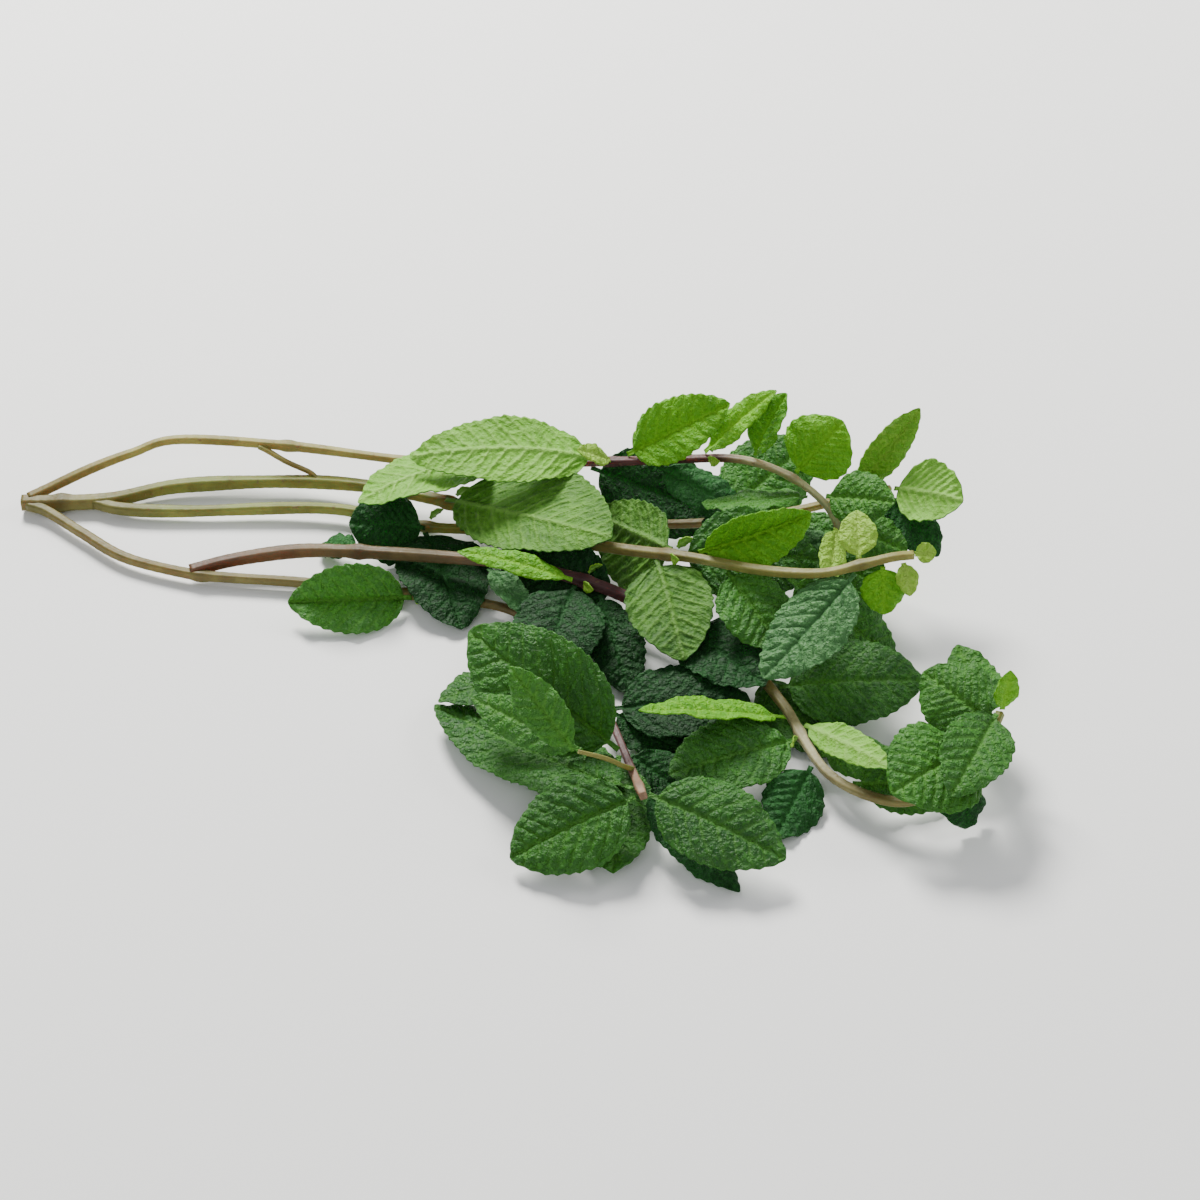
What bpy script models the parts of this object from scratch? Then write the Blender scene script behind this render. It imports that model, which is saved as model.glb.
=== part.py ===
"""Branched mint sprig lying flat: cut stem, side branches, leaves.

Plan millimetres: +X runs from the cut end to the tips, +Z is up.
The whole sprig is moved at the end so that the middle of the bottom
of its bounding box is the origin.
"""
import math

import bmesh
import bpy
from mathutils import Vector

# Driving dimensions, in millimetres
MM = 0.001
GAP = 0.35  # clearance between neighbouring pieces
LEAF_THICKNESS = 0.5
PETIOLE_HALF_WIDTH = 0.8
STEM_STEP = 6.5  # spacing of the rings along a stem
PETIOLE_SHARE = 0.07  # part of a leaf's length before the blade begins
LEAF_ROWS = 9
OUTLINE_FOOT = 0.55  # roundness of a leaf's outline at its foot and at its tip
OUTLINE_TIP = 0.60
LEAF_COLUMNS = 4

# Fractions of a stem's width: half side and clipped corner of its square section
SECTION_HALF = 0.44
SECTION_CLIP = 0.30

# Routes of the stems: points (x, y, z) in plan millimetres
# name: (width at the foot, width at the tip, colour, route)
STEMS = {
    "stem_main": (4.6, 2.4, (0.20, 0.26, 0.07), [
        (-58, 166, 3), (-33, 167, 3), (-9, 173, 4), (34, 173, 5), (68, 160, 9),
        (98, 141, 12), (120, 129, 17), (141, 117, 24), (160, 106, 29),
        (176, 100, 33), (187, 100, 36), (196, 101, 38), (202, 102, 38)]),
    "stem_back": (3.0, 2.2, (0.25, 0.19, 0.08), [
        (-50, 170.5, 5), (-38, 176, 8), (-26, 181, 10), (-12, 185, 12),
        (21, 182, 12), (57, 174, 13), (86, 168, 16), (116, 162, 22),
        (139, 156, 28), (156, 151, 32), (169, 143, 33), (179, 135, 30),
        (184, 130, 24), (186, 126, 18)]),
    "stem_middle": (3.8, 2.2, (0.22, 0.28, 0.08), [
        (-27, 163, 3), (-8, 162, 3), (35, 162, 4), (68, 152, 5), (104, 150, 8),
        (145, 146, 12), (174, 145, 18), (191, 143, 26), (199, 140, 30)]),
    "stem_front": (4.0, 2.4, (0.22, 0.19, 0.08), [
        (8, 137.5, 5), (25, 139, 7), (40, 137, 9), (69, 131, 12),
        (93, 125, 14), (116, 118, 12), (133, 108, 10), (155, 92, 8),
        (166, 75, 7), (171, 60, 8), (177, 47, 8), (187, 39, 8),
        (198, 36, 9), (210, 40, 13), (218, 48, 17), (223, 58, 20)]),
    "stem_low": (3.2, 2.4, (0.26, 0.22, 0.11), [
        (-50, 162, 3), (-38, 152, 3), (-24, 141, 3), (-5, 134, 3), (8, 132, 3),
        (28, 130, 3), (61, 125, 3), (78, 122, 3), (93, 115, 4), (107, 99, 5),
        (118, 70, 7), (124, 46, 11), (127, 31, 16)]),
    "stem_twig": (1.8, 1.5, (0.25, 0.22, 0.10), [
        (15, 181, 11), (21, 178, 9), (28, 175.5, 7)]),
    "stem_shoot": (1.6, 1.2, (0.20, 0.26, 0.08), [
        (122, 42, 16), (117, 41, 20), (110, 39.5, 24)]),
}

UPPER_GREEN = (0.055, 0.22, 0.035)
BRIGHT_GREEN = (0.16, 0.42, 0.03)
DARK_GREEN = (0.02, 0.11, 0.04)
PALE_UNDER = (0.25, 0.42, 0.17)
YOUNG_GREEN = (0.30, 0.45, 0.08)

# Leaves: (name, stem, distance along the stem, tip, width, direction that the
# upper side faces, fold, curl, arch, hook, lean, colour)
# Distances in millimetres, fold and curl in degrees, arch and hook as fractions
# of the leaf's length; lean is how much wider one half is than the mean.
LEAVES = [
    # back branch
    ("leaf_back_1", "stem_back", 173, (60, 158, 27), 23, (0, .3, -1), 2, 4, -.13, .0, .0, PALE_UNDER),
    ("leaf_back_2", "stem_back", 181, (153, 158, 47), 19, (-.2, -.7, .8), 25, 30, .03, .0, .0, BRIGHT_GREEN),
    ("leaf_back_3", "stem_back", 205, (166, 155, 54), 10, (-.3, -.4, .9), 20, 30, .05, .0, .0, BRIGHT_GREEN),
    ("leaf_back_4", "stem_back", 233, (185, 150, 47), 22, (-.2, -.8, .6), 10, 35, .05, .0, .0, BRIGHT_GREEN),
    ("leaf_back_5", "stem_back", 244, (199, 127, 36), 17, (0, -.6, .9), 14, 40, .08, .0, .0, UPPER_GREEN),
    ("leaf_back_6", "stem_back", 253, (179, 108, 21), 9, (.3, -.6, .6), 25, 50, .05, .0, .0, YOUNG_GREEN),
    ("leaf_back_7", "stem_back", 256, (167, 129, 14), 9, (0, -.5, 1), 12, 40, .08, .0, .0, PALE_UNDER),
    ("leaf_back_8", "stem_back", 254, (203, 122, 22), 15, (.2, -.6, .8), 14, 45, .08, .0, .0, UPPER_GREEN),
    ("leaf_back_9", "stem_back", 240, (145, 141, 24), 16, (0, .3, 1), 12, 30, .0, .0, .0, UPPER_GREEN),
    ("leaf_back_10", "stem_back", 190, (160, 141, 16), 14, (.2, -.5, 1), 12, 30, .06, .0, .0, DARK_GREEN),
    ("leaf_back_11", "stem_back", 220, (169, 155, 53), 13, (-.9, -.6, .3), 30, 30, .05, .0, .0, BRIGHT_GREEN),
    ("leaf_back_12", "stem_back", 176, (109, 154, 33), 7, (0, -.4, .9), 15, 20, .04, .0, .0, YOUNG_GREEN),
    # middle branch
    ("leaf_middle_1", "stem_middle", 93, (42, 147, 11), 24, (-.1, -.6, .8), 6, 30, .08, .0, .0, DARK_GREEN),
    ("leaf_middle_2", "stem_middle", 222, (207, 152, 50), 11, (-.3, -.6, -.2), 35, 60, .10, -.1, .0, PALE_UNDER),
    ("leaf_middle_3", "stem_middle", 250, (219, 132, 32), 21, (0, .4, -.9), 10, 35, -.08, .0, .0, PALE_UNDER),
    ("leaf_middle_4", "stem_middle", 231, (212, 122, 20), 15, (.2, -.6, .8), 14, 40, .05, .0, .0, DARK_GREEN),
    ("leaf_middle_5", "stem_middle", 186, (146, 133, 14), 15, (0, -.5, .9), 12, 30, .06, .0, .0, DARK_GREEN),
    # main stem
    ("leaf_main_1", "stem_main", 209, (113, 149, 13), 27, (0, .85, -.55), 10, 4, .05, .0, .3, PALE_UNDER),
    ("leaf_main_2", "stem_main", 218, (175, 121, 37), 20, (0, -.9, .3), 45, 25, .05, .0, .0, BRIGHT_GREEN),
    ("leaf_main_3", "stem_main", 206, (139, 85, 14), 25, (0, .5, -.8), 8, 25, -.06, .0, .0, PALE_UNDER),
    ("leaf_main_4", "stem_main", 229, (166, 87, 15), 21, (.3, -.6, .7), 18, 30, .06, .0, .0, UPPER_GREEN),
    ("leaf_main_5", "stem_main", 266, (160, 74, 18), 22, (0, -.1, 1), 4, 20, -.03, .0, .0, PALE_UNDER),
    ("leaf_main_6", "stem_main", 133, (119, 124, 25), 34, (0, .25, -1), 3, 3, -.03, .0, .22, PALE_UNDER),
    ("leaf_main_7", "stem_main", 268, (187, 115, 43), 11, (0, -.9, .4), 20, 40, .06, .0, .0, YOUNG_GREEN),
    ("leaf_main_8", "stem_main", 274, (194, 93, 24), 13, (.1, -.9, .4), 15, 45, .05, .0, .0, BRIGHT_GREEN),
    ("leaf_main_9", "stem_main", 280, (201, 94, 30), 7, (.4, -.8, .4), 15, 30, .05, .0, .0, YOUNG_GREEN),
    ("leaf_main_10", "stem_main", 283, (208, 101, 40), 6, (0, -.7, .7), 25, 20, .05, .0, .0, YOUNG_GREEN),
    # front branch
    ("leaf_front_1", "stem_front", 36, (33, 148, 2), 10, (0, -.3, 1), 12, 30, .05, .0, .0, DARK_GREEN),
    ("leaf_front_2", "stem_front", 103, (75, 124, 20), 8, (0, -.2, .9), 14, 30, .06, .0, .0, BRIGHT_GREEN),
    ("leaf_front_3", "stem_front", 104, (99, 83, 10), 26, (0, -.3, 1), 12, 25, .06, .0, .0, DARK_GREEN),
    ("leaf_front_4", "stem_front", 138, (161, 76, 13), 22, (.1, -.3, 1), 10, 12, .06, .0, .0, DARK_GREEN),
    ("leaf_front_5", "stem_front", 173, (205, 78, 13), 27, (0, -.4, 1), 8, 25, .08, .0, .0, UPPER_GREEN),
    ("leaf_front_6", "stem_front", 185, (126, 53, 26), 12, (0, .2, 1), 20, 20, .02, .0, .0, BRIGHT_GREEN),
    ("leaf_front_7", "stem_front", 194, (134, 44, 11), 23, (-.1, -.3, .9), 12, 15, .04, .0, .0, UPPER_GREEN),
    ("leaf_front_8", "stem_front", 204, (162, 29, 2), 17, (.2, -.3, .9), 6, 20, -.04, .0, .0, DARK_GREEN),
    ("leaf_front_9", "stem_front", 190, (193, 39, 18), 10, (.1, .4, -.9), 6, 10, -.05, .0, .0, PALE_UNDER),
    ("leaf_front_10", "stem_front", 267, (203, 70, 24), 22, (-.1, -.5, .9), 10, 35, .08, .0, .0, UPPER_GREEN),
    ("leaf_front_11", "stem_front", 257, (192, 31, 17), 29, (-.3, -.5, .8), 8, 25, .12, .0, .0, UPPER_GREEN),
    ("leaf_front_12", "stem_front", 248, (213, 33, 1.5), 14, (.4, -.7, .5), 10, 40, .06, .0, .0, DARK_GREEN),
    ("leaf_front_13", "stem_front", 290, (225, 62, 32), 7, (.2, -.8, .4), 20, 30, .05, .0, .0, BRIGHT_GREEN),
    ("leaf_front_14", "stem_front", 112, (124, 84, 2), 17, (.1, -.3, 1), 8, 20, .06, .0, .0, DARK_GREEN),
    ("leaf_front_15", "stem_front", 152, (134, 64, 1.5), 17, (-.1, -.2, 1), 8, 20, .02, .0, .0, DARK_GREEN),
    ("leaf_front_16", "stem_front", 78, (96, 108, 9), 9, (.3, -.5, .8), 25, 20, .05, .0, .0, PALE_UNDER),
    # low branch
    ("leaf_low_1", "stem_low", 121, (26, 118, 6), 22, (0, -.7, .7), 35, 25, .06, .0, .0, DARK_GREEN),
    ("leaf_low_2", "stem_low", 205, (140, 60, 2), 15, (0, -.2, 1), 8, 25, .04, .0, .0, DARK_GREEN),
    ("leaf_low_3", "stem_low", 224, (140, 44, 2), 16, (0, -.2, 1), 8, 25, .02, .0, .0, DARK_GREEN),
    ("leaf_low_4", "stem_low", 246, (164, 16, 8), 24, (0, -.4, .9), 12, 30, .08, .0, .0, UPPER_GREEN),
    ("leaf_low_5", "stem_low", 241, (152, 11, 1), 13, (0, -.2, 1), 8, 25, -.04, .0, .0, DARK_GREEN),
    ("leaf_low_6", "stem_low", 247, (92, 20, 4), 27, (-.1, -.4, .9), 14, 35, .08, .0, .0, UPPER_GREEN),
    ("leaf_low_7", "stem_low", 243, (70, 76, 6), 27, (0, .1, 1), 2, 10, -.04, .0, .0, UPPER_GREEN),
    ("leaf_low_8", "stem_low", 224, (80, 81, 29), 30, (-.2, -.6, .8), 10, 12, .15, .0, .0, UPPER_GREEN),
    ("leaf_shoot_1", "stem_shoot", 13, (81, 62, 22), 12, (-.2, -.6, .8), 15, 30, .04, .0, .0, BRIGHT_GREEN),
    ("leaf_shoot_2", "stem_shoot", 15, (92, 55, 40), 12, (-.2, -.7, .8), 15, 30, .06, .0, .0, BRIGHT_GREEN),
]


def clear_scene():
    for thing in list(bpy.data.objects):
        bpy.data.objects.remove(thing, do_unlink=True)


def plain_material(name, colour, roughness):
    material = bpy.data.materials.new(name)
    material.use_nodes = True
    shader = material.node_tree.nodes["Principled BSDF"]
    shader.inputs["Base Color"].default_value = (*colour, 1.0)
    shader.inputs["Roughness"].default_value = roughness
    shader.inputs["Metallic"].default_value = 0.0
    return material


class Route:
    """A smooth line through the given points, read by distance along it."""

    def __init__(self, points, steps=24):
        given = [Vector(p) for p in points]
        ghosts = [given[0] * 2 - given[1], *given, given[-1] * 2 - given[-2]]
        self.points = []
        for a, b, c, d in zip(ghosts, ghosts[1:], ghosts[2:], ghosts[3:]):
            for k in range(steps):
                t = k / steps
                bend = 2 * a - 5 * b + 4 * c - d
                swing = 3 * b - a - 3 * c + d
                self.points.append(0.5 * (2 * b + (c - a) * t + bend * t**2 + swing * t**3))
        self.points.append(given[-1])
        self.marks = [0.0]
        for p, q in zip(self.points, self.points[1:]):
            self.marks.append(self.marks[-1] + (q - p).length)
        self.length = self.marks[-1]

    def at(self, distance):
        distance = min(max(distance, 0.0), self.length)
        for k in range(1, len(self.marks)):
            if self.marks[k] >= distance:
                break
        span = self.marks[k] - self.marks[k - 1]
        t = (distance - self.marks[k - 1]) / span
        return self.points[k - 1].lerp(self.points[k], t)

    def heading(self, distance):
        distance = min(max(distance, 1.0), self.length - 1.0)
        return (self.at(distance + 1.0) - self.at(distance - 1.0)).normalized()


def stem_section():
    """Square section with clipped corners, one unit wide, as a bevel profile."""
    s, c = SECTION_HALF, SECTION_CLIP
    corners = [(s, -c), (c, -s), (-c, -s), (-s, -c), (-s, c), (-c, s), (c, s), (s, c)]
    curve = bpy.data.curves.new("stem_section", "CURVE")
    curve.dimensions = "2D"
    line = curve.splines.new("POLY")
    line.points.add(len(corners) - 1)
    for point, (x, y) in zip(line.points, corners):
        point.co = (x * MM, y * MM, 0.0, 1.0)
    line.use_cyclic_u = True
    section = bpy.data.objects.new("stem_section", curve)
    section.hide_render = True
    section.display_type = "WIRE"
    bpy.context.collection.objects.link(section)
    return section


def build_stem(name, foot_width, tip_width, colour, route, section, parent):
    curve = bpy.data.curves.new(name, "CURVE")
    curve.dimensions = "3D"
    curve.render_resolution_u = 0
    curve.bevel_mode = "OBJECT"
    curve.bevel_object = section
    curve.use_fill_caps = True
    curve.twist_mode = "MINIMUM"
    count = max(3, round(route.length / STEM_STEP))
    line = curve.splines.new("POLY")
    line.points.add(count)
    for k, point in enumerate(line.points):
        share = k / count
        spot = route.at(share * route.length)
        point.co = (*(spot * MM), 1.0)
        point.radius = foot_width + (tip_width - foot_width) * share
    stem = bpy.data.objects.new(name, curve)
    bpy.context.collection.objects.link(stem)
    stem.parent = parent
    curve.materials.append(plain_material(name, colour, 0.55))
    return stem


def outline(share):
    """Half width along a leaf, from 0 at the foot through 1 to 0 at the tip."""
    share = max(0.0, (share - PETIOLE_SHARE) / (1 - PETIOLE_SHARE))
    widest = OUTLINE_FOOT / (OUTLINE_FOOT + OUTLINE_TIP)
    peak = widest**OUTLINE_FOOT * (1 - widest) ** OUTLINE_TIP
    return share**OUTLINE_FOOT * (1 - share) ** OUTLINE_TIP / peak


def leaf_point(frame, share, side):
    """Point of the leaf's middle surface; side runs from -1 to 1."""
    foot, chord, facing, across, width, fold, curl, arch, hook, lean = frame
    length = chord.length
    a = foot
    b = foot + chord / 3 + facing * arch * length
    c = foot + chord * 2 / 3 + facing * (arch + hook) * length
    d = foot + chord
    t, u = share, 1 - share
    spine = a * u**3 + b * (3 * u * u * t) + c * (3 * u * t * t) + d * t**3
    along = ((b - a) * u * u + (c - b) * (2 * u * t) + (d - c) * t * t).normalized()
    out = across - along * across.dot(along)
    out.normalize()
    up = out.cross(along)
    if up.dot(facing) < 0:
        up.negate()
    petiole = PETIOLE_HALF_WIDTH * (1 - share) ** 2
    half = max(petiole, outline(share) * width / 2 * (1 + math.copysign(lean, side)))
    if share == 1:
        half = 0.35
    reach = abs(side)
    bend = math.radians(max(curl, 1))
    start = math.radians(fold)
    run = (math.sin(start) - math.sin(start - bend * reach)) / bend
    rise = (math.cos(start - bend * reach) - math.cos(start)) / bend
    return spine + out * math.copysign(half * run, side) + up * (half * rise)


def leaf_frame(route, stem_width, row):
    at, tip, width, face, fold, curl, arch, hook, lean = row
    tip = Vector(tip)
    spot = route.at(at)
    heading = route.heading(at)
    outward = tip - spot
    outward -= heading * outward.dot(heading)
    if outward.length < 2.0:
        outward = Vector((0, 0, 1)) - heading * heading.z
    outward.normalize()
    if at >= route.length:
        outward = heading
        stem_width = 1.4
    foot = spot + outward * (stem_width * 0.56 + GAP + LEAF_THICKNESS / 2)
    chord = tip - foot
    line = chord.normalized()
    facing = Vector(face)
    facing -= line * facing.dot(line)
    facing.normalize()
    across = line.cross(facing)
    return foot, chord, facing, across, width, fold, curl, arch, hook, lean


def build_leaf(name, frame, colour, parent):
    mesh = bpy.data.meshes.new(name)
    shape = bmesh.new()
    grid = bmesh.ops.create_grid(shape, x_segments=LEAF_ROWS, y_segments=LEAF_COLUMNS, size=1.0)
    for corner in grid["verts"]:
        share = (corner.co.x + 1) / 2
        corner.co = leaf_point(frame, share, corner.co.y) * MM
    bmesh.ops.recalc_face_normals(shape, faces=shape.faces)
    shape.to_mesh(mesh)
    shape.free()
    mesh.shade_smooth()
    leaf = bpy.data.objects.new(name, mesh)
    bpy.context.collection.objects.link(leaf)
    leaf.parent = parent
    solid = leaf.modifiers.new("thickness", "SOLIDIFY")
    solid.thickness = LEAF_THICKNESS * MM
    solid.offset = 0.0
    mesh.materials.append(plain_material(name, colour, 0.5))
    return leaf


def seat_on_ground(parent):
    """Moves the whole sprig so that its bounding box stands on the origin."""
    bpy.context.view_layer.update()
    graph = bpy.context.evaluated_depsgraph_get()
    low = Vector((1e9, 1e9, 1e9))
    high = -low
    for thing in parent.children:
        solid = thing.evaluated_get(graph)
        mesh = solid.to_mesh()
        for vertex in mesh.vertices:
            spot = solid.matrix_world @ vertex.co
            low = Vector(map(min, low, spot))
            high = Vector(map(max, high, spot))
        solid.to_mesh_clear()
    parent.location = (-(low.x + high.x) / 2, -(low.y + high.y) / 2, -low.z)


def build():
    clear_scene()
    sprig = bpy.data.objects.new("sprig", None)
    bpy.context.collection.objects.link(sprig)
    section = stem_section()
    routes = {}
    widths = {}
    for name, (foot_width, tip_width, colour, points) in STEMS.items():
        routes[name] = Route(points)
        widths[name] = (foot_width, tip_width)
        build_stem(name, foot_width, tip_width, colour, routes[name], section, sprig)
    for name, stem, at, tip, width, face, fold, curl, arch, hook, lean, colour in LEAVES:
        route = routes[stem]
        foot_width, tip_width = widths[stem]
        share = min(at / route.length, 1)
        stem_width = foot_width + (tip_width - foot_width) * share
        row = (at, tip, width, face, fold, curl, arch, hook, lean)
        build_leaf(name, leaf_frame(route, stem_width, row), colour, sprig)
    seat_on_ground(sprig)
    bpy.context.view_layer.update()


build()
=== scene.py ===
import math
import random

import bmesh
import bpy
import numpy as np
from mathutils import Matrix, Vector


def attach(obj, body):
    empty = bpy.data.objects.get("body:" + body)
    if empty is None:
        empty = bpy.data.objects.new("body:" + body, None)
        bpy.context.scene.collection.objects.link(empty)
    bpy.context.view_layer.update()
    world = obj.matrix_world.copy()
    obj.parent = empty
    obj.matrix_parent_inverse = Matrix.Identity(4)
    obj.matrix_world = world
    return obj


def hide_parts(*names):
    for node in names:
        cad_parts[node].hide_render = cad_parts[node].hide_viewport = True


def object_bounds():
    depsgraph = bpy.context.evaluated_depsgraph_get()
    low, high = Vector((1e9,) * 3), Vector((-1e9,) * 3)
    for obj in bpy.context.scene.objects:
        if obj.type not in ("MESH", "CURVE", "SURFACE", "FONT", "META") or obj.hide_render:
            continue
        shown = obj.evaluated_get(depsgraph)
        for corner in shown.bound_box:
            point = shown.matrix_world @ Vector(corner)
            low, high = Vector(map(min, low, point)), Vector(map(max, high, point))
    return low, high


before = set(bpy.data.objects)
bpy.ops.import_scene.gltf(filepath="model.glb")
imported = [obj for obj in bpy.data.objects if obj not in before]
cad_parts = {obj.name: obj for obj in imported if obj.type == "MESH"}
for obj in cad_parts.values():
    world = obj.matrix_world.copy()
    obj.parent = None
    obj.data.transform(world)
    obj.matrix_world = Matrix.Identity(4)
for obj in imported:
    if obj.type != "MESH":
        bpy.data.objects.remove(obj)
cad_low, cad_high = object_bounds()

# ---------------------------------------------------------------------------
# Table, light and camera. The sprig lies on a plain pale table in soft light
# that falls from a wide window behind it, with a weak fill from the front.

TABLE_COLOUR = (0.93, 0.93, 0.92)
VIEW_TARGET = Vector((0.0307, 0.0049, 0.0201))
VIEW_DISTANCE = 0.800
VIEW_ELEVATION = math.radians(42)
VIEW_LENS = 85.7


def area_light(name, place, size, power, colour):
    lamp = bpy.data.lights.new(name, "AREA")
    lamp.shape = "DISK"
    lamp.size = size
    lamp.energy = power
    lamp.color = colour
    holder = bpy.data.objects.new(name, lamp)
    holder.location = place
    holder.rotation_euler = (Vector((0, 0, 0)) - Vector(place)).to_track_quat("-Z", "Y").to_euler()
    bpy.context.collection.objects.link(holder)
    return holder


area_light("window_light", (-0.30, 0.95, 0.95), 0.50, 42, (1.0, 0.99, 0.95))
area_light("side_light", (0.95, 0.35, 0.70), 0.50, 5, (1.0, 1.0, 0.98))
area_light("front_fill", (-0.2, -1.1, 0.9), 1.2, 7, (0.96, 0.98, 1.0))

world = bpy.data.worlds.new("soft_room")
world.use_nodes = True
world.node_tree.nodes["Background"].inputs["Color"].default_value = (0.95, 0.97, 1.0, 1)
world.node_tree.nodes["Background"].inputs["Strength"].default_value = 0.34
bpy.context.scene.world = world

camera = bpy.data.objects.new("camera", bpy.data.cameras.new("camera"))
camera.data.lens = VIEW_LENS
camera.data.sensor_width = 36
camera.data.clip_start = 0.01
camera.location = VIEW_TARGET + VIEW_DISTANCE * Vector(
    (0, -math.cos(VIEW_ELEVATION), math.sin(VIEW_ELEVATION)))
camera.rotation_euler = (math.radians(90) - VIEW_ELEVATION, 0, 0)
bpy.context.collection.objects.link(camera)
bpy.context.scene.camera = camera

table_mesh = bpy.data.meshes.new("table")
table_shape = bmesh.new()
bmesh.ops.create_grid(table_shape, x_segments=8, y_segments=8, size=3.0)
table_shape.to_mesh(table_mesh)
table_shape.free()
table = bpy.data.objects.new("table", table_mesh)
table.location.z = cad_low.z - 0.0002
bpy.context.collection.objects.link(table)


class Value:
    """A number that varies over a surface: one output of the material's nodes."""

    def __init__(self, paint, socket):
        self.paint = paint
        self.socket = socket

    def maths(self, kind, *others):
        return self.paint.node("ShaderNodeMath", {"operation": kind}, self, *others)[0]

    def __add__(self, other):
        return self.maths("ADD", other)

    def __radd__(self, other):
        return self.maths("ADD", other)

    def __sub__(self, other):
        return self.maths("SUBTRACT", other)

    def __rsub__(self, other):
        return (self * -1) + other

    def __mul__(self, other):
        return self.maths("MULTIPLY", other)

    def __rmul__(self, other):
        return self.maths("MULTIPLY", other)

    def __pow__(self, other):
        return self.maths("POWER", other)

    def kept(self):
        """The same value held between 0 and 1."""
        return self.paint.node("ShaderNodeClamp", {}, self)[0]

    def between(self, low, high):
        """0 below low, 1 above high, and smooth between."""
        ranged = {"interpolation_type": "SMOOTHSTEP"}
        return self.paint.node("ShaderNodeMapRange", ranged, self, low, high)[0]


class Paint:
    """One material and the few kinds of node that its finish is written in."""

    def __init__(self, name, roughness, **steady):
        self.material = bpy.data.materials.new(name)
        self.material.use_nodes = True
        self.tree = self.material.node_tree
        self.shader = self.tree.nodes["Principled BSDF"]
        self.shader.inputs["Roughness"].default_value = roughness
        for socket, value in steady.items():
            self.shader.inputs[socket.replace("_", " ")].default_value = value

    def node(self, kind, settings, *inputs, **named):
        made = self.tree.nodes.new(kind)
        for key, value in settings.items():
            setattr(made, key, value)
        for socket, value in [*enumerate(inputs), *named.items()]:
            if isinstance(socket, str):
                socket = socket.replace("_", " ")
            if isinstance(value, Value):
                self.tree.links.new(value.socket, made.inputs[socket])
            elif value is not None:
                made.inputs[socket].default_value = value
        return [Value(self, out) for out in made.outputs]

    def own(self, name):
        """A value that the piece's mesh carries at each point."""
        return self.node("ShaderNodeAttribute", {"attribute_name": name})[2]

    def place(self):
        return self.node("ShaderNodeTexCoord", {})[3]

    def noise(self, scale, detail=3.0):
        """Fine unevenness, fixed to the sprig; a larger scale gives a smaller grain."""
        return self.node("ShaderNodeTexNoise", {}, Vector=self.place(), Scale=scale, Detail=detail)[0]

    def blend(self, first, second, share, kind="MIX"):
        """Colour that goes from first to second as share goes from 0 to 1."""
        mixer = self.tree.nodes.new("ShaderNodeMix")
        mixer.data_type = "RGBA"
        mixer.blend_type = kind
        for socket, value in ((0, share), (6, first), (7, second)):
            if isinstance(value, Value):
                self.tree.links.new(value.socket, mixer.inputs[socket])
            elif socket == 0:
                mixer.inputs[socket].default_value = value
            else:
                mixer.inputs[socket].default_value = (*value, 1)
        return Value(self, mixer.outputs[2])

    def feed(self, socket, value):
        self.tree.links.new(value.socket, self.shader.inputs[socket])

    def relief(self, height, depth, strength=1.0):
        bump = self.node("ShaderNodeBump", {}, Height=height, Distance=depth, Strength=strength)[0]
        self.feed("Normal", bump)


table_paint = Paint("table_finish", 0.85)
speckle = table_paint.noise(40, 4)
table_paint.feed("Base Color", table_paint.blend(
    TABLE_COLOUR, tuple(c * 0.985 for c in TABLE_COLOUR), speckle))
table.data.materials.append(table_paint.material)

# ---------------------------------------------------------------------------
# Stems. Mint has square stems, soft green when young and browner with age,
# with a shallow groove down each face and a swollen ring at every leaf pair.

MM = 0.001
PLAN_TO_FRAME = Vector((-84.933, -98.474, 0.060))  # the plan's corner in the frame, mm


class Route:
    """A smooth line through the given points, read by distance along it."""

    def __init__(self, points, steps=24):
        given = [Vector(p) for p in points]
        ghosts = [given[0] * 2 - given[1], *given, given[-1] * 2 - given[-2]]
        self.points = []
        for a, b, c, d in zip(ghosts, ghosts[1:], ghosts[2:], ghosts[3:]):
            for k in range(steps):
                t = k / steps
                bend = 2 * a - 5 * b + 4 * c - d
                swing = 3 * b - a - 3 * c + d
                self.points.append(0.5 * (2 * b + (c - a) * t + bend * t**2 + swing * t**3))
        self.points.append(given[-1])
        self.marks = [0.0]
        for p, q in zip(self.points, self.points[1:]):
            self.marks.append(self.marks[-1] + (q - p).length)
        self.length = self.marks[-1]

    def at(self, distance):
        distance = min(max(distance, 0.0), self.length)
        for k in range(1, len(self.marks)):
            if self.marks[k] >= distance:
                break
        span = self.marks[k] - self.marks[k - 1]
        t = (distance - self.marks[k - 1]) / span
        return self.points[k - 1].lerp(self.points[k], t)

    def heading(self, distance):
        distance = min(max(distance, 1.0), self.length - 1.0)
        return (self.at(distance + 1.0) - self.at(distance - 1.0)).normalized()


OLIVE = (0.19, 0.25, 0.050)
STRAW = (0.33, 0.33, 0.10)
TAN = (0.19, 0.175, 0.055)
UMBER = (0.10, 0.06, 0.03)
BARK = (0.14, 0.105, 0.045)
PLUM = (0.10, 0.045, 0.05)
CREAM = (0.45, 0.42, 0.24)
ROSE = (0.40, 0.25, 0.17)
PALE_GREEN = (0.33, 0.40, 0.20)

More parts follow.
